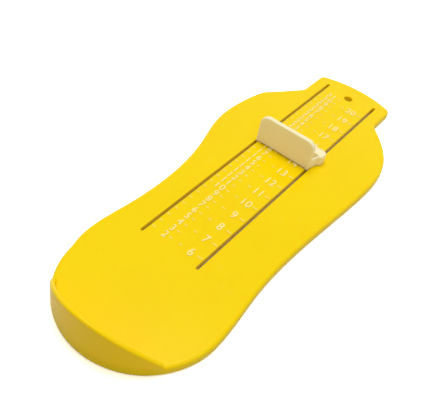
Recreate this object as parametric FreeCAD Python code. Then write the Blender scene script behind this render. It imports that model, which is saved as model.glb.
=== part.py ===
import FreeCAD, Part
import math
import os
from FreeCAD import Vector

# Child's foot gauge: a foot-shaped board with a heel wall, and a toe slider that runs in two
# slots along the printed scale. A keeper under the board holds the slider down.
#
# Millimetres. The pieces are drawn with the mid-line between the slots at x = 0, the scale's
# zero (the inner face of the heel wall) at y = 0 and the board's top at z = 0, toes towards
# +Y. set_on_origin() then moves them all, so that the part stands on z = 0 with the middle of
# its plan at the origin.

# Slider and keeper stack, from the board's top down to the table
SKIN = 1.8                 # sole plate of the board
RAIL_H = 0.8               # rails round the slots, under the plate
RUN_GAP = 0.15             # between the rails and the keeper
KEEPER_T = 0.7             # thickness of the keeper
BARB_H = 0.3               # height of the barbs that hold the keeper
TABLE_GAP = 0.25           # between the barbs and the table
BOARD_H = SKIN + RAIL_H + RUN_GAP + KEEPER_T + BARB_H + TABLE_GAP

# Printed scales
CM = 10.0                  # spacing of the centimetre lines
SCALE_FIRST = 60.0         # first line of both scales
SCALE_LAST = 200.0         # last centimetre line
SIZE_STEP = 5.0            # spacing of the shoe-size lines
SIZE_LAST = 205.0          # last shoe-size line
PRINT_H = 0.2              # height of the raised print
LINE_W = 0.4               # width of a printed line
TICK_GAP = 0.65            # between a slot and the lines beside it
CM_TICK_L = 2.5
SIZE_TICK_L = 1.5
SIZE_DASH_X = -4.0         # dashes to the right of the size numbers
SIZE_DASH_L = 1.6
CM_DASH_X = 1.2            # dashes to the left of the centimetre numbers
CM_DASH_L = 1.6

# Slots and hanging hole
SLOT_X = 14.75             # slot centres, each side of the mid-line
SLOT_W = 1.5
SLOT_LEAD = 5.6            # slots start this far before the first line
SLOT_RUN_OUT = 9.5         # and end this far past the last
HOLE_R = 2.4
HOLE_SETBACK = 4.1         # hole's centre, before the slots' end

# Board outline. The left flank is the arch side of the foot. Each point of a flank is its share
# of the way from the heel's centre to the tab's root, and how far it lies outside the heel.
HEEL_R = 35.5              # outer radius of the heel end
HEEL_X = 6.4               # heel's centre, right of the slots' mid-line
HEEL_START = 190.0         # heel arc, degrees, from the left flank
HEEL_END = 360.0           # round the back to the right flank
LEFT_FLANK = ((0.0, 1.0), (0.17, 0.5), (0.52, 4.4), (0.69, 11.1), (0.87, 8.1))
RIGHT_FLANK = ((0.17, -2.4), (0.52, -0.8), (0.69, 1.3), (0.87, -2.0))
LEFT_SLOPE = 57.0          # rise of the left shoulder where it meets the tab, degrees
RIGHT_SLOPE = 42.0         # rise of the right shoulder
TOE_LAND = 9.4             # board past the slots' end
TAB_W = 44.6               # width of the tab at the toe end
TAB_L = 25.9               # tab's length, from where the shoulders meet its root radii
ROOT_R = 5.0               # radius in the corner between shoulder and tab
TOE_R = 55.0               # radius of the tab's end
TAB_CORNER_R = 3.5         # radius of the tab's corners
EDGE_ROUND = 1.5           # radius along the board's top edge
FOOT_ROUND = 0.5           # radius along its bottom edge

# Underside of the board
SKIRT_T = 2.0              # wall that runs round under the edge
RIB_T = 1.2                # guide ribs and cross ribs
RAIL_T = 1.0               # width of a rail, and of the boss round the hanging hole
TRACK_GAP = 0.4            # between the keeper and the guide ribs or the boss
GUIDE_LEAD = 10.0          # guide ribs start this far before the slots
CROSS_RIB_PITCH = 36.0     # spacing of the cross ribs
CROSS_RIB_DROP = 0.6       # cross ribs stop this far above the table

# Heel wall
WALL_T = 2.0               # thickness
WALL_H = 16.8              # height above the board at the middle
WALL_END_H = 1.2           # height at its two ends
WALL_HALF_SPAN = 28.0      # from the middle to an end, measured across the board
WALL_RIM_ROUND = 0.9       # radius along the rim
WALL_FOOT_R = 0.8          # radius in the corner between wall and board

# Toe slider
READING = 140.0            # where its measuring face stands
LIFT = 0.3                 # running gap above the board
LEG_GAP = 0.25             # each side of a leg in its slot
PLATE_T = 2.4              # toe plate
PLATE_H = 15.9             # top of the toe plate above the board
PLATE_CORNER_R = 4.5
RUNNER_H = 0.5             # runners under the slider's sides, which keep the rest off the print
RUNNER_W = 1.7
PLATE_ROUND = 0.5          # radius along the plate's edges
BAR_H = 5.6                # top of the finger bar and side walls above the board
BAR_SETBACK = 4.4          # finger bar, behind the plate
BAR_L = 6.3                # finger bar, along the slots
BAR_ROUND = 0.9            # radius along its top edge
EAR = 2.8                  # how far the bar reaches past the plate
EAR_R = 2.0
WALL_FLARE = 1.2           # how far the side walls widen from the plate to the bar
POCKET_L = 5.6             # open pocket behind the plate, part of it in the bar
POCKET_WALL = 0.7
POCKET_FLOOR = 1.2
LEG_INSET = 1.5            # legs stop short of the slider's front and back
BARB_L = 6.0
BARB_REACH = 0.5           # how far a barb stands out from its leg

# Keeper
KEEPER_MARGIN = 2.6        # keeper outside its windows, across the board
WINDOW_GAP = 0.1           # round a leg in its window

# What follows from these
LEG_T = SLOT_W - 2 * LEG_GAP
PLATE_HALF = SLOT_X + LEG_T / 2
SLIDER_L = PLATE_T + BAR_SETBACK + BAR_L
LEG_L = SLIDER_L - 2 * LEG_INSET
KEEPER_TOP = -SKIN - RAIL_H - RUN_GAP
KEEPER_BOTTOM = KEEPER_TOP - KEEPER_T
KEEPER_HALF = PLATE_HALF + WINDOW_GAP + KEEPER_MARGIN
HEEL_CENTRE = Vector(HEEL_X, HEEL_R - WALL_T, 0)
SLOT_START = SCALE_FIRST - SLOT_LEAD
SLOT_END = max(SCALE_LAST, SIZE_LAST) + SLOT_RUN_OUT
HOLE_Y = SLOT_END - HOLE_SETBACK
TOE_Y = SLOT_END + TOE_LAND
TAB_ROOT_Y = TOE_Y - TAB_L
CUT = 1.0                  # how far a cutting shape runs past what it cuts
INSET_POINTS = 16          # points along a flank that an inner curve follows
Y_AXIS = Vector(0, 1, 0)
Z_AXIS = Vector(0, 0, 1)


def block(x0, x1, y0, y1, z0, z1):
    """Box between two corners."""
    return Part.makeBox(x1 - x0, y1 - y0, z1 - z0, Vector(x0, y0, z0))


def polar(centre, radius, degrees, z=0.0):
    """Point on a circle in plan."""
    angle = math.radians(degrees)
    return centre + Vector(radius * math.cos(angle), radius * math.sin(angle), z)


def arc(centre, radius, start, end):
    """Arc edge in plan, from one angle to another, in degrees."""
    middle = (start + end) / 2
    points = [polar(centre, radius, angle) for angle in (start, middle, end)]
    return Part.Arc(*points).toShape()


def line(start, end):
    """Straight edge."""
    return Part.LineSegment(start, end).toShape()


def round_edges(solid, radius, wanted):
    """Fillet the edges for which wanted(edge) is true."""
    return solid.makeFillet(radius, [edge for edge in solid.Edges if wanted(edge)])


def lies_at(edge, z):
    """True for an edge that lies wholly at height z."""
    return all(abs(edge.valueAt(t).z - z) < 1e-6 for t in edge.ParameterRange)


def runs_along(edge, axis):
    """True for a straight edge that runs along an axis."""
    start, end = (edge.valueAt(t) for t in edge.ParameterRange)
    return (end - start).cross(axis).Length < 1e-6


def follows_circle(edge, radius, z):
    """True for an edge at height z that lies on a circle round the heel's centre."""
    ends = (edge.valueAt(t) - HEEL_CENTRE for t in edge.ParameterRange)
    return lies_at(edge, z) and all(abs(math.hypot(p.x, p.y) - radius) < 1e-6 for p in ends)


def flank_curve(side, heel_angle, stations, slope):
    """Flank from the end of the heel arc to the start of the tab's root radius."""
    start = polar(HEEL_CENTRE, HEEL_R, heel_angle)
    start_along = polar(Vector(), 1.0, heel_angle + 90 * side)
    end_along = polar(Vector(), 1.0, 90 + side * (90 - slope))
    end = polar(root_centre(side, slope), ROOT_R, 90 + side * (180 - slope))
    to_root = TAB_ROOT_Y - HEEL_CENTRE.y
    between = [
        HEEL_CENTRE + Vector(side * (HEEL_R + outside), share * to_root, 0)
        for share, outside in stations
    ]
    curve = Part.BSplineCurve()
    curve.interpolate(
        Points=[start, *between, end], InitialTangent=start_along, FinalTangent=end_along
    )
    return curve


def root_centre(side, slope):
    """Centre of the radius in the corner between a shoulder and the tab."""
    rise = ROOT_R * math.cos(math.radians(slope))
    return Vector(side * (TAB_W / 2 + ROOT_R), TAB_ROOT_Y + rise, 0)


def inset_curve(curve, side, inset):
    """Curve that runs beside another, towards the middle of the board."""
    points = []
    for i in range(INSET_POINTS + 1):
        t = curve.FirstParameter + (curve.LastParameter - curve.FirstParameter) * i / INSET_POINTS
        along = curve.tangent(t)[0]
        points.append(curve.value(t) + Vector(-along.y, along.x, 0) * side * inset)
    inner = Part.BSplineCurve()
    first = curve.tangent(curve.FirstParameter)[0]
    last = curve.tangent(curve.LastParameter)[0]
    inner.interpolate(Points=points, InitialTangent=first, FinalTangent=last)
    return inner


def tab_corner(side):
    """Centre of a tab corner's radius, and the angle at which it meets the toe arc."""
    across = TAB_W / 2 - TAB_CORNER_R
    up = math.sqrt((TOE_R - TAB_CORNER_R) ** 2 - across ** 2)
    centre = Vector(side * across, TOE_Y - TOE_R + up, 0)
    return centre, math.degrees(math.atan2(up, side * across))


def flank_edges(side, heel_angle, stations, slope, inset):
    """One side of the outline: flank, the tab's root radius, tab side and corner."""
    curve = flank_curve(side, heel_angle, stations, slope)
    if inset:
        curve = inset_curve(curve, side, inset)
    inward = 90 + side * 90
    root = root_centre(side, slope)
    corner, toe_angle = tab_corner(side)
    root_end = polar(root, ROOT_R + inset, inward)
    corner_start = corner + Vector(side * (TAB_CORNER_R - inset), 0, 0)
    return [
        curve.toShape(),
        arc(root, ROOT_R + inset, inward + side * (90 - slope), inward),
        line(root_end, corner_start),
        arc(corner, TAB_CORNER_R - inset, 90 - side * 90, toe_angle),
    ]


def outline_face(inset=0.0):
    """Plan of the board, or of what lies inside its skirt."""
    toe_centre = Vector(0, TOE_Y - TOE_R, 0)
    edges = [arc(HEEL_CENTRE, HEEL_R - inset, HEEL_START, HEEL_END)]
    edges += flank_edges(1, HEEL_END, RIGHT_FLANK, RIGHT_SLOPE, inset)
    edges += flank_edges(-1, HEEL_START, LEFT_FLANK, LEFT_SLOPE, inset)
    edges.append(arc(toe_centre, TOE_R - inset, tab_corner(1)[1], tab_corner(-1)[1]))
    return Part.Face(Part.Wire(Part.sortEdges(edges)[0]))


def underside_ribs(pocket):
    """Guide ribs beside the keeper, and cross ribs from them out to the skirt."""
    inner = KEEPER_HALF + TRACK_GAP
    track_start = SLOT_START - GUIDE_LEAD
    guides = [
        block(x, x + RIB_T, track_start, TOE_Y, -BOARD_H, -SKIN)
        for x in (-inner - RIB_T, inner)
    ]
    first = HEEL_CENTRE.y
    count = int((TAB_ROOT_Y - first) / CROSS_RIB_PITCH) + 1
    track = block(-inner, inner, track_start, TOE_Y, -BOARD_H, -SKIN)
    across = [
        block(-TOE_Y, TOE_Y, y, y + RIB_T, -BOARD_H + CROSS_RIB_DROP, -SKIN).cut(track)
        for y in (first + i * CROSS_RIB_PITCH for i in range(count))
    ]
    return [rib.common(pocket) for rib in guides + across]


def wall_rim(radius, end_angle):
    """Rim line at one radius: its height follows a circular arch seen from behind."""
    drop = WALL_H - WALL_END_H
    arch_r = (WALL_HALF_SPAN ** 2 + drop ** 2) / (2 * drop)
    points = []
    for i in range(-6, 7):
        angle = end_angle * i / 6
        across = HEEL_R * math.sin(math.radians(angle))
        height = WALL_H - arch_r + math.sqrt(arch_r ** 2 - across ** 2)
        points.append(polar(HEEL_CENTRE, radius, angle - 90, height))
    curve = Part.BSplineCurve()
    curve.interpolate(Points=points)
    return curve.toShape()


def heel_wall():
    """Curved wall behind the heel, with a rim that arches from end to end."""
    half_angle = math.degrees(math.asin(WALL_HALF_SPAN / HEEL_R))
    start, end = -90 - half_angle, -90 + half_angle
    inner_r = HEEL_R - WALL_T
    plan = Part.Face(Part.Wire([
        arc(HEEL_CENTRE, HEEL_R, start, end),
        line(polar(HEEL_CENTRE, HEEL_R, end), polar(HEEL_CENTRE, inner_r, end)),
        arc(HEEL_CENTRE, inner_r, end, start),
        line(polar(HEEL_CENTRE, inner_r, start), polar(HEEL_CENTRE, HEEL_R, start)),
    ]))
    wall = plan.extrude(Vector(0, 0, WALL_H + EDGE_ROUND + CUT))
    wall.translate(Vector(0, 0, -EDGE_ROUND))
    past_end = half_angle + CUT
    rims = [wall_rim(radius, past_end) for radius in (inner_r - WALL_T, HEEL_R + WALL_T)]
    above = Part.makeRuledSurface(*rims)
    wall = wall.cut(above.extrude(Vector(0, 0, 2 * WALL_H)))
    rim_l = inner_r * math.radians(half_angle)
    return round_edges(wall, WALL_RIM_ROUND, lambda e: e.Length > rim_l and e.CenterOfMass.z > 0)


def slot_shape(side, margin, bottom, top):
    """Round-ended block along a slot, wider than the slot by a margin all round."""
    r = SLOT_W / 2 + margin
    x = side * SLOT_X
    start, end = SLOT_START + SLOT_W / 2, SLOT_END - SLOT_W / 2
    ends = [Part.makeCylinder(r, top - bottom, Vector(x, y, bottom)) for y in (start, end)]
    return block(x - r, x + r, start, end, bottom, top).fuse(ends)


def foot_board():
    """The yellow moulding: plate, skirt, ribs and heel wall in one."""
    plate = outline_face().extrude(Vector(0, 0, -BOARD_H))
    plate = round_edges(plate, EDGE_ROUND, lambda e: lies_at(e, 0.0))
    plate = round_edges(plate, FOOT_ROUND, lambda e: lies_at(e, -BOARD_H))
    pocket = outline_face(SKIRT_T).extrude(Vector(0, 0, SKIN - BOARD_H))
    pocket.translate(Vector(0, 0, -SKIN))
    rails = [slot_shape(side, RAIL_T, -SKIN - RAIL_H, -SKIN) for side in (-1, 1)]
    boss = Part.makeCylinder(HOLE_R + RAIL_T, BOARD_H - SKIN, Vector(0, HOLE_Y, -BOARD_H))
    board = plate.cut(pocket).fuse([*underside_ribs(pocket), *rails, boss])
    board = board.fuse(heel_wall())
    board = round_edges(board, WALL_FOOT_R, lambda e: follows_circle(e, HEEL_R - WALL_T, 0.0))
    slots = [slot_shape(side, 0.0, -BOARD_H, CUT) for side in (-1, 1)]
    hole = Part.makeCylinder(HOLE_R, BOARD_H + 2 * CUT, Vector(0, HOLE_Y, -BOARD_H - CUT))
    return board.cut([hole, *slots]).removeSplitter()


def slider_leg(side):
    """Leg that reaches down through a slot and the keeper, with a barb on its outer face."""
    x = side * SLOT_X
    y0 = READING + LEG_INSET
    bottom = KEEPER_BOTTOM - BARB_H
    leg = block(x - LEG_T / 2, x + LEG_T / 2, y0, y0 + LEG_L, bottom, LIFT + CUT)
    face_x = x + side * LEG_T / 2
    barb_y = y0 + (LEG_L - BARB_L) / 2
    corners = [
        Vector(face_x, barb_y, bottom),
        Vector(face_x, barb_y, KEEPER_BOTTOM - WINDOW_GAP),
        Vector(face_x + side * BARB_REACH, barb_y, KEEPER_BOTTOM - WINDOW_GAP),
    ]
    barb = Part.Face(Part.makePolygon(corners + corners[:1])).extrude(Vector(0, BARB_L, 0))
    return leg.fuse(barb)


def plate_face():
    """Front view of the toe plate, with its two top corners rounded."""
    corner_x = PLATE_HALF - PLATE_CORNER_R
    corner_z = PLATE_H - PLATE_CORNER_R
    reach = PLATE_CORNER_R * math.sqrt(0.5)
    edges = []
    for side in (-1, 1):
        shoulder = Vector(side * PLATE_HALF, READING, corner_z)
        middle = Vector(side * (corner_x + reach), READING, corner_z + reach)
        crown = Vector(side * corner_x, READING, PLATE_H)
        foot = Vector(side * PLATE_HALF, READING, LIFT)
        edges += [line(foot, shoulder), Part.Arc(shoulder, middle, crown).toShape()]
    for z, half in ((LIFT, PLATE_HALF), (PLATE_H, corner_x)):
        edges.append(line(Vector(-half, READING, z), Vector(half, READING, z)))
    return Part.Face(Part.Wire(Part.sortEdges(edges)[0]))


def is_face_edge(edge):
    """True for an edge round the plate's front or back, apart from the bottom ones."""
    return not runs_along(edge, Y_AXIS) and not lies_at(edge, LIFT)


def flared_block(inset, length, bottom, top):
    """Block behind the plate that widens towards the finger bar, inset from the side walls."""
    back = READING + PLATE_T
    half = PLATE_HALF - inset
    wide = half + WALL_FLARE
    right = [
        (half, back - PLATE_T / 2),
        (half, back),
        (wide, back + BAR_SETBACK),
        (wide, back + length),
    ]
    left = [(-x, y) for x, y in reversed(right)]
    corners = [Vector(x, y, bottom) for x, y in right + left + right[:1]]
    return Part.Face(Part.makePolygon(corners)).extrude(Vector(0, 0, top - bottom))


def toe_slider():
    """The ivory moulding that the toes touch: tall plate, pocket, finger bar and legs."""
    plate = plate_face().extrude(Vector(0, PLATE_T, 0))
    plate = round_edges(plate, PLATE_ROUND, is_face_edge)

    end = READING + SLIDER_L
    half = PLATE_HALF + EAR
    bar = block(-half, half, end - BAR_L, end, LIFT, BAR_H)
    bar = round_edges(bar, EAR_R, lambda e: runs_along(e, Z_AXIS))
    bar = bar.fuse(flared_block(0.0, BAR_SETBACK + EAR_R, LIFT, BAR_H)).removeSplitter()
    bar = round_edges(bar, BAR_ROUND, lambda e: lies_at(e, BAR_H))

    pocket = flared_block(POCKET_WALL, POCKET_L, LIFT + POCKET_FLOOR, BAR_H + CUT)
    runner_x = PLATE_HALF - RUNNER_W
    relief = block(-runner_x, runner_x, READING - CUT, end + CUT, LIFT - CUT, LIFT + RUNNER_H)
    body = bar.cut(pocket).fuse(plate).cut(relief)
    return body.fuse([slider_leg(-1), slider_leg(1)]).removeSplitter()


def slider_keeper():
    """Plate under the board that the legs snap through, notched for the boss at the hole."""
    end = READING + SLIDER_L
    keeper = block(-KEEPER_HALF, KEEPER_HALF, READING, end, KEEPER_BOTTOM, KEEPER_TOP)
    reach = LEG_T / 2 + WINDOW_GAP
    y0 = READING + LEG_INSET - WINDOW_GAP
    y1 = y0 + LEG_L + 2 * WINDOW_GAP
    windows = [
        block(x - reach, x + reach, y0, y1, KEEPER_BOTTOM - CUT, KEEPER_TOP + CUT)
        for x in (-SLOT_X, SLOT_X)
    ]
    keeper = round_edges(keeper, EAR_R, lambda e: runs_along(e, Z_AXIS))
    notch_r = HOLE_R + RAIL_T + TRACK_GAP
    notch_y = end - LEG_INSET - HOLE_SETBACK
    notch_bottom = KEEPER_BOTTOM - CUT
    notch = block(-notch_r, notch_r, notch_y, end + CUT, notch_bottom, KEEPER_TOP + CUT)
    notch_end = Part.makeCylinder(notch_r, KEEPER_T + 2 * CUT, Vector(0, notch_y, notch_bottom))
    return keeper.cut([notch.fuse(notch_end), *windows])


def line_row(x, length, first, last, pitch):
    """Printed lines across the board, one at each step of a scale."""
    count = round((last - first) / pitch) + 1
    lines = [
        block(x, x + length, y - LINE_W / 2, y + LINE_W / 2, 0, PRINT_H)
        for y in (first + i * pitch for i in range(count))
    ]
    return Part.makeCompound(lines)


def printed_lines():
    """The four rows of lines on the board."""
    slot_edge = SLOT_X - SLOT_W / 2 - TICK_GAP
    return {
        "centimetre_ticks": line_row(slot_edge - CM_TICK_L, CM_TICK_L, SCALE_FIRST, SCALE_LAST, CM),
        "centimetre_dashes": line_row(CM_DASH_X, CM_DASH_L, SCALE_FIRST, SCALE_LAST, CM),
        "size_ticks": line_row(-slot_edge, SIZE_TICK_L, SCALE_FIRST, SIZE_LAST, SIZE_STEP),
        "size_dashes": line_row(SIZE_DASH_X, SIZE_DASH_L, SCALE_FIRST, SIZE_LAST, SIZE_STEP),
    }


def set_on_origin(pieces):
    """Stand the part on z = 0 with the middle of the board's plan at the origin."""
    box = pieces["foot_board"].optimalBoundingBox()
    for piece in pieces.values():
        piece.translate(Vector(-box.Center.x, -box.Center.y, -box.ZMin))


def main():
    pieces = {
        "foot_board": foot_board(),
        "toe_slider": toe_slider(),
        "slider_keeper": slider_keeper(),
        **printed_lines(),
    }
    set_on_origin(pieces)
    os.makedirs("parts", exist_ok=True)
    for name, piece in pieces.items():
        piece.exportStep(f"parts/{name}.step")
        print(name, len(piece.Solids), round(piece.Volume, 2), piece.isValid())


main()
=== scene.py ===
import math
import bpy
from mathutils import Matrix, Vector


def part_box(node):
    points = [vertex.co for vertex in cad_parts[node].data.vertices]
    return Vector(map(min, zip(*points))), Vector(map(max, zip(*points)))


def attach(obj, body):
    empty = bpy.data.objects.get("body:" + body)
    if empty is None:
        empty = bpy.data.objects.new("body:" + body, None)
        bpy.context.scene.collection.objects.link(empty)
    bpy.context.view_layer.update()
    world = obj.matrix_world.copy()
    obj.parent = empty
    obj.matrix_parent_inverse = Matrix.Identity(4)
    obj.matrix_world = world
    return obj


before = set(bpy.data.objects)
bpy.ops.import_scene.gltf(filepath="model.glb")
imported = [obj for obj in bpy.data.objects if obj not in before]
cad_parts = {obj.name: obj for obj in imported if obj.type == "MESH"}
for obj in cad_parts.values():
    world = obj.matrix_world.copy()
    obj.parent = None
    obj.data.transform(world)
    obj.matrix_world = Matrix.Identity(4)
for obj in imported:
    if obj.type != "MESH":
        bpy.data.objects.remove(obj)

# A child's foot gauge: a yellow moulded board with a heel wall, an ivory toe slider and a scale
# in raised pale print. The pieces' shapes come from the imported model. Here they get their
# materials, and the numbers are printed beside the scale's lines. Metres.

MM = 0.001

# Camera, in the part's own frame
CAMERA_AT = Vector((93.7, -201.2, 201.9)) * MM
CAMERA_HEADING = -28.84    # degrees from +Y towards +X
CAMERA_DIP = 44.28         # degrees below the horizon
CAMERA_ROLL = 12.29        # degrees anticlockwise
CAMERA_LENS = 54.72        # mm
SENSOR_W = 36.0            # mm

# Studio
FLOOR_HALF = 1.1           # metres from the middle to an edge
FLOOR_DROP = 0.05 * MM     # floor lies this far below the feet of the part
FLOOR_SHOWN = 1.8          # the floor as the eye sees it, so that it meets the white sky
FLOOR_MIRRORED = 0.75      # the floor in reflections
FLOOR_BOUNCE = 0.62        # the floor as it lights the part from below
SKY_LEVEL = 0.464          # light from all round
WHITE = (1, 1, 1, 1)
SOFTBOXES = (              # name, place and width in metres, watts
    ("key_softbox", (-0.24, 0.16, 1.42), 0.8, 11.5),
    ("side_softbox", (0.9, 0.1, 1.1), 0.3, 1.9),
)

# Moulded ABS of the board, slider and keeper
FLOW_PATCH = 45 * MM       # breadth of the faint patches that the flowing plastic leaves
SHEEN_PATCH = 9 * MM       # breadth of a patch of more or less gloss
ROUGHNESS_SWING = 0.025    # how far the gloss goes either way
TOOL_GRAIN = 0.35 * MM     # grain of the tool's finish, coarse enough to show close up
GRAIN_DEPTH = 0.01 * MM
ABS_IOR = 1.5
SOAK_SHARE = 0.4           # share of the light that soaks in
SOAK_DEPTH = 3.0 * MM      # how far it travels, for a soak of 1

# Ink of the print
INK_PATCH = 0.6 * MM       # breadth of a patch of thicker or thinner ink
INK_ROUGHNESS = 0.6
INK_IOR = 1.48

# Print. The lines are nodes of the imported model, and the numbers stand beside them.
NUMBER_H = 4.7 * MM        # height of a centimetre number
SIZE_NUMBER_H = 4.0 * MM   # height of a shoe-size number
NUMBER_RELIEF = 0.35 * MM  # how far the numbers stand up from the board
NUMBER_SETBACK = 3.05 * MM       # a lone digit's middle, left of the centimetre lines
SIZE_NUMBER_SETBACK = 2.2 * MM   # and left of the shoe-size dashes
DIGIT_PITCH = 2.9 * MM     # between the two digits of a number
UNITS_SHIFT = 0.3          # share of the pitch that a two-digit centimetre number moves right
DIGIT_NARROWING = 0.85     # width of a digit, against the font's own
FONT_DIGIT_H = 0.729       # the font's digit height, for a size of 1
CURVE_STEPS = 6            # points along each curve of a digit's outline
WELD = 0.001 * MM          # points closer than this are one
FIRST_CM = 6               # what the first line of each scale reads
FIRST_SIZE = 2


def linear(hex_colour):
    """sRGB hex to the linear colour that a shader takes."""
    channels = [int(hex_colour[i:i + 2], 16) / 255 for i in (1, 3, 5)]
    return *(c / 12.92 if c <= 0.04045 else ((c + 0.055) / 1.055) ** 2.4 for c in channels), 1


def add(tree, kind, inputs=None, **settings):
    """Add a node, give it its settings, and set or link its inputs by name or number."""
    node = tree.nodes.new(kind)
    for name, value in settings.items():
        setattr(node, name, value)
    for name, value in (inputs or {}).items():
        if isinstance(value, bpy.types.NodeSocket):
            tree.links.new(value, node.inputs[name])
        else:
            node.inputs[name].default_value = value
    return node


# --- Camera and studio ---------------------------------------------------------------------------

def place_camera():
    """Camera at the product-shot angle: from the heel end, above and to the right."""
    camera = bpy.data.objects.new("camera", bpy.data.cameras.new("camera"))
    bpy.context.collection.objects.link(camera)
    camera.data.sensor_width = SENSOR_W
    camera.data.lens = CAMERA_LENS
    camera.data.clip_start = 0.01
    heading, dip = math.radians(CAMERA_HEADING), math.radians(CAMERA_DIP)
    forward = Vector((
        math.sin(heading) * math.cos(dip), math.cos(heading) * math.cos(dip), -math.sin(dip)
    ))
    turn = forward.to_track_quat("-Z", "Y").to_matrix().to_4x4()
    roll = Matrix.Rotation(math.radians(CAMERA_ROLL), 4, "Z")
    camera.matrix_world = Matrix.Translation(CAMERA_AT) @ turn @ roll
    bpy.context.scene.camera = camera


def light_sky():
    """Plain soft light from all round, shown as white to the eye and in reflections."""
    world = bpy.data.worlds.new("studio")
    world.use_nodes = True
    tree = world.node_tree
    tree.nodes.clear()
    path = add(tree, "ShaderNodeLightPath")
    seen = add(tree, "ShaderNodeMath", {0: path.outputs["Is Camera Ray"],
               1: path.outputs["Is Glossy Ray"]}, operation="MAXIMUM")
    seen = add(tree, "ShaderNodeMath", {0: seen.outputs[0],
               1: path.outputs["Is Transmission Ray"]}, operation="MAXIMUM")
    level = add(tree, "ShaderNodeMapRange", {"Value": seen.outputs[0], "To Min": SKY_LEVEL,
                "To Max": 1.0})
    sky = add(tree, "ShaderNodeBackground", {"Color": WHITE, "Strength": level.outputs[0]})
    add(tree, "ShaderNodeOutputWorld", {"Surface": sky.outputs[0]})
    bpy.context.scene.world = world


def softbox(name, at, width, watts):
    """Square area light that faces the part."""
    light = bpy.data.lights.new(name, "AREA")
    light.size = width
    light.energy = watts
    lamp = bpy.data.objects.new(name, light)
    bpy.context.collection.objects.link(lamp)
    lamp.location = at
    lamp.rotation_mode = "QUATERNION"
    lamp.rotation_quaternion = (-Vector(at)).to_track_quat("-Z", "Y")


def floor_material():
    """White painted table: matt, and shown lighter than it bounces, so that it meets the sky."""
    material = bpy.data.materials.new("white_table_paint")
    material.use_nodes = True
    tree = material.node_tree
    tree.nodes.clear()
    path = add(tree, "ShaderNodeLightPath")
    mirrored = add(tree, "ShaderNodeMapRange", {"Value": path.outputs["Is Glossy Ray"],
                   "To Min": FLOOR_BOUNCE, "To Max": FLOOR_MIRRORED})
    level = add(tree, "ShaderNodeMapRange", {"Value": path.outputs["Is Camera Ray"],
                "To Min": mirrored.outputs[0], "To Max": FLOOR_SHOWN})
    colour = add(tree, "ShaderNodeCombineColor", {channel: level.outputs[0]
                 for channel in ("Red", "Green", "Blue")})
    paint = add(tree, "ShaderNodeBsdfDiffuse", {"Color": colour.outputs[0]})
    add(tree, "ShaderNodeOutputMaterial", {"Surface": paint.outputs[0]})
    return material


def lay_floor():
    mesh = bpy.data.meshes.new("floor")
    edge, z = FLOOR_HALF, -FLOOR_DROP
    mesh.from_pydata([(-edge, -edge, z), (edge, -edge, z), (edge, edge, z), (-edge, edge, z)],
                     [], [(0, 1, 2, 3)])
    mesh.materials.append(floor_material())
    floor = bpy.data.objects.new("floor", mesh)
    bpy.context.collection.objects.link(floor)


# --- Materials -----------------------------------------------------------------------------------

def moulded_plastic(name, colour, patch_colour, roughness, specular, soak):
    """Injection-moulded ABS: even colour with faint flow patches, and a fine tool grain. Light
    soaks a few millimetres into it, red furthest, which warms its shaded sides and edges."""
    material = bpy.data.materials.new(name)
    material.use_nodes = True
    tree = material.node_tree
    tree.nodes.clear()
    place = add(tree, "ShaderNodeTexCoord").outputs["Object"]
    flow = add(tree, "ShaderNodeTexNoise", {"Vector": place, "Scale": 1 / FLOW_PATCH,
               "Detail": 2.0, "Roughness": 0.4})
    share = add(tree, "ShaderNodeMapRange", {"Value": flow.outputs["Fac"], "From Min": 0.35,
                "From Max": 0.65})
    tint = add(tree, "ShaderNodeMix", {"Factor": share.outputs[0], 6: linear(colour),
               7: linear(patch_colour)}, data_type="RGBA")
    sheen = add(tree, "ShaderNodeTexNoise", {"Vector": place, "Scale": 1 / SHEEN_PATCH,
                "Detail": 3.0})
    rough = add(tree, "ShaderNodeMapRange", {"Value": sheen.outputs["Fac"], "From Min": 0.3,
                "From Max": 0.7, "To Min": roughness - ROUGHNESS_SWING,
                "To Max": roughness + ROUGHNESS_SWING})
    grain = add(tree, "ShaderNodeTexNoise", {"Vector": place, "Scale": 1 / TOOL_GRAIN,
                "Detail": 2.0})
    bump = add(tree, "ShaderNodeBump", {"Height": grain.outputs["Fac"], "Strength": 0.5,
               "Distance": GRAIN_DEPTH})
    skin = add(tree, "ShaderNodeBsdfPrincipled", {"Base Color": tint.outputs[2],
               "Roughness": rough.outputs[0], "Normal": bump.outputs[0], "IOR": ABS_IOR,
               "Specular IOR Level": specular, "Subsurface Weight": SOAK_SHARE,
               "Subsurface Radius": soak, "Subsurface Scale": SOAK_DEPTH})
    add(tree, "ShaderNodeOutputMaterial", {"Surface": skin.outputs[0]})
    return material


def raised_ink(name, colour, thin_colour):
    """Pale screen-print ink laid on thick: matt, and yellower where the board shows through."""
    material = bpy.data.materials.new(name)
    material.use_nodes = True
    tree = material.node_tree
    tree.nodes.clear()
    place = add(tree, "ShaderNodeTexCoord").outputs["Object"]
    cover = add(tree, "ShaderNodeTexNoise", {"Vector": place, "Scale": 1 / INK_PATCH,
                "Detail": 3.0})
    share = add(tree, "ShaderNodeMapRange", {"Value": cover.outputs["Fac"], "From Min": 0.35,
                "From Max": 0.6})
    tint = add(tree, "ShaderNodeMix", {"Factor": share.outputs[0], 6: linear(thin_colour),
               7: linear(colour)}, data_type="RGBA")
    skin = add(tree, "ShaderNodeBsdfPrincipled", {"Base Color": tint.outputs[2],
               "Roughness": INK_ROUGHNESS, "IOR": INK_IOR})
    add(tree, "ShaderNodeOutputMaterial", {"Surface": skin.outputs[0]})
    return material


# --- Printed numbers -----------------------------------------------------------------------------

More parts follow.
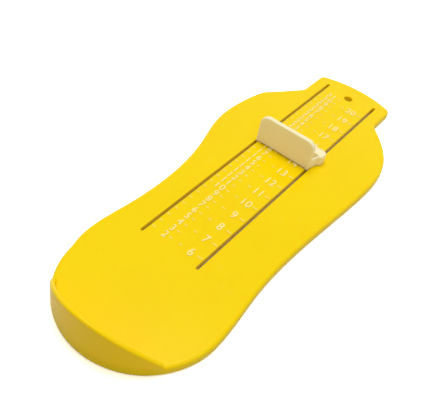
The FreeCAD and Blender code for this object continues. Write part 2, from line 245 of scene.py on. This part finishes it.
def number_tree(material):
    """Geometry Nodes tree that prints a column of whole numbers below 100. The units of a
    two-digit number stand a share of the digits' pitch to the right of a lone digit."""
    tree = bpy.data.node_groups.new("number_column", "GeometryNodeTree")
    sizes = {}
    for name, kind in (("First number", "Int"), ("Count", "Int"), ("Spacing", "Float"),
                       ("First line", "Float"), ("Lone digit", "Float"), ("Units shift", "Float"),
                       ("Board top", "Float"), ("Digit height", "Float"), ("Relief", "Float")):
        socket = tree.interface.new_socket(name, in_out="INPUT", socket_type=f"NodeSocket{kind}")
        sizes[name] = socket.identifier
    tree.interface.new_socket("Geometry", in_out="OUTPUT", socket_type="NodeSocketGeometry")
    given = add(tree, "NodeGroupInput").outputs

    def maths(operation, a, b=0.0):
        return add(tree, "ShaderNodeMath", {0: a, 1: b}, operation=operation).outputs[0]

    index = add(tree, "GeometryNodeInputIndex").outputs[0]
    number = maths("ADD", given["First number"], index)
    units = maths("MODULO", number, 10)
    tens = maths("FLOOR", maths("DIVIDE", number, 10))
    two_digits = maths("GREATER_THAN", tens, 0.5)
    em = maths("DIVIDE", given["Digit height"], FONT_DIGIT_H)
    shift = maths("MULTIPLY", two_digits, maths("MULTIPLY", given["Units shift"], DIGIT_PITCH))
    units_x = maths("ADD", given["Lone digit"], shift)
    along = maths("ADD", given["First line"], maths("MULTIPLY", index, given["Spacing"]))
    down = maths("SUBTRACT", along, maths("MULTIPLY", given["Digit height"], 0.5))

    digits = add(tree, "GeometryNodeStringToCurves", {"String": "0123456789", "Size": em},
                 pivot_mode="BOTTOM_CENTER")
    coarse = add(tree, "GeometryNodeSetSplineResolution", {"Geometry": digits.outputs[0],
                 "Resolution": CURVE_STEPS})
    filled = add(tree, "GeometryNodeFillCurve", {"Curve": coarse.outputs[0]})
    here = add(tree, "GeometryNodeInputPosition").outputs[0]
    pivot = add(tree, "ShaderNodeVectorMath", {0: here, 1: digits.outputs["Pivot Point"]},
                operation="ADD")
    back = add(tree, "ShaderNodeVectorMath", {0: pivot.outputs[0], "Scale": -1.0},
               operation="SCALE")
    glyphs = add(tree, "GeometryNodeTranslateInstances", {"Instances": filled.outputs[0],
                 "Translation": back.outputs[0], "Local Space": False})

    columns = add(tree, "GeometryNodeJoinGeometry")
    for x, digit, shown in ((units_x, units, None),
                            (maths("SUBTRACT", units_x, DIGIT_PITCH), tens, two_digits)):
        spot = add(tree, "ShaderNodeCombineXYZ", {"X": x, "Y": down, "Z": given["Board top"]})
        points = add(tree, "GeometryNodePoints", {"Count": given["Count"],
                     "Position": spot.outputs[0]})
        inputs = {"Points": points.outputs[0], "Instance": glyphs.outputs[0],
                  "Pick Instance": True, "Instance Index": digit,
                  "Scale": (DIGIT_NARROWING, 1.0, 1.0)}
        if shown:
            inputs["Selection"] = shown
        printed = add(tree, "GeometryNodeInstanceOnPoints", inputs)
        tree.links.new(printed.outputs[0], columns.inputs[0])

    flat = add(tree, "GeometryNodeRealizeInstances", {"Geometry": columns.outputs[0]})
    raised = add(tree, "GeometryNodeExtrudeMesh", {"Mesh": flat.outputs[0], "Individual": False,
                 "Offset Scale": given["Relief"]})
    under = add(tree, "GeometryNodeFlipFaces", {"Mesh": flat.outputs[0]})
    both = add(tree, "GeometryNodeJoinGeometry", {0: raised.outputs[0]})
    tree.links.new(under.outputs[0], both.inputs[0])
    closed = add(tree, "GeometryNodeMergeByDistance", {"Geometry": both.outputs[0],
                 "Distance": WELD})
    inked = add(tree, "GeometryNodeSetMaterial", {"Geometry": closed.outputs[0],
                "Material": material})
    add(tree, "NodeGroupOutput", {0: inked.outputs[0]})
    return tree, sizes


def print_numbers(name, tree, sizes, values):
    """Run the tree for one column and keep the result as a plain mesh."""
    maker = bpy.data.objects.new(name + "_maker", bpy.data.meshes.new(name + "_maker"))
    bpy.context.collection.objects.link(maker)
    modifier = maker.modifiers.new("numbers", "NODES")
    modifier.node_group = tree
    for label, value in values.items():
        modifier[sizes[label]] = value
    depsgraph = bpy.context.evaluated_depsgraph_get()
    mesh = bpy.data.meshes.new_from_object(maker.evaluated_get(depsgraph))
    bpy.data.objects.remove(maker)
    ink = mesh.materials[-1]
    mesh.materials.clear()
    mesh.materials.append(ink)
    mesh.polygons.foreach_set("material_index", [0] * len(mesh.polygons))
    mesh.name = name
    column = bpy.data.objects.new(name, mesh)
    bpy.context.collection.objects.link(column)
    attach(column, "board")
    return column


def scale_rows(node):
    """Where a row of printed lines starts, its spacing and its count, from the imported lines."""
    rows = sorted({round(vertex.co.y, 5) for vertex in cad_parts[node].data.vertices})
    middles = [(low + high) / 2 for low, high in zip(rows[::2], rows[1::2])]
    return middles[0], (middles[-1] - middles[0]) / (len(middles) - 1), len(middles)


def print_scales(ink):
    tree, sizes = number_tree(ink)
    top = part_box("centimetre_ticks")[0].z
    for name, rows, beside, setback, shift, first, height in (
        ("centimetre_numbers", "centimetre_ticks", "centimetre_ticks", NUMBER_SETBACK, UNITS_SHIFT,
         FIRST_CM, NUMBER_H),
        ("size_numbers", "size_ticks", "size_dashes", SIZE_NUMBER_SETBACK, 0.0,
         FIRST_SIZE, SIZE_NUMBER_H),
    ):
        start, spacing, count = scale_rows(rows)
        print_numbers(name, tree, sizes, {
            "First number": first, "Count": count, "Spacing": spacing, "First line": start,
            "Lone digit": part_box(beside)[0].x - setback, "Units shift": shift,
            "Board top": top, "Digit height": height, "Relief": NUMBER_RELIEF,
        })


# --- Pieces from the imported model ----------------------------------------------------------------

def dress(node, material):
    """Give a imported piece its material."""
    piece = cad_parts[node]
    piece.data.materials.clear()
    piece.data.materials.append(material)


def main():
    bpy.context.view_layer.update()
    place_camera()
    light_sky()
    for name, at, width, watts in SOFTBOXES:
        softbox(name, at, width, watts)
    lay_floor()
    bpy.context.scene.view_settings.view_transform = "Standard"

    board = moulded_plastic("moulded_yellow_abs", "#ffd600", "#fdd300", 0.25, 0.1,
                            (1.0, 0.4, 0.03))
    ivory = moulded_plastic("moulded_ivory_abs", "#faefc6", "#f8ecc2", 0.3, 0.16, (1.0, 0.85, 0.6))
    number_ink = raised_ink("raised_pale_ink", "#fff2a8", "#ffe880")
    line_ink = raised_ink("raised_pale_line_ink", "#ffea90", "#ffe066")
    dress("foot_board", board)
    dress("toe_slider", ivory)
    dress("slider_keeper", ivory)
    for node in ("centimetre_ticks", "centimetre_dashes", "size_ticks", "size_dashes"):
        dress(node, line_ink)
    print_scales(number_ink)


main()
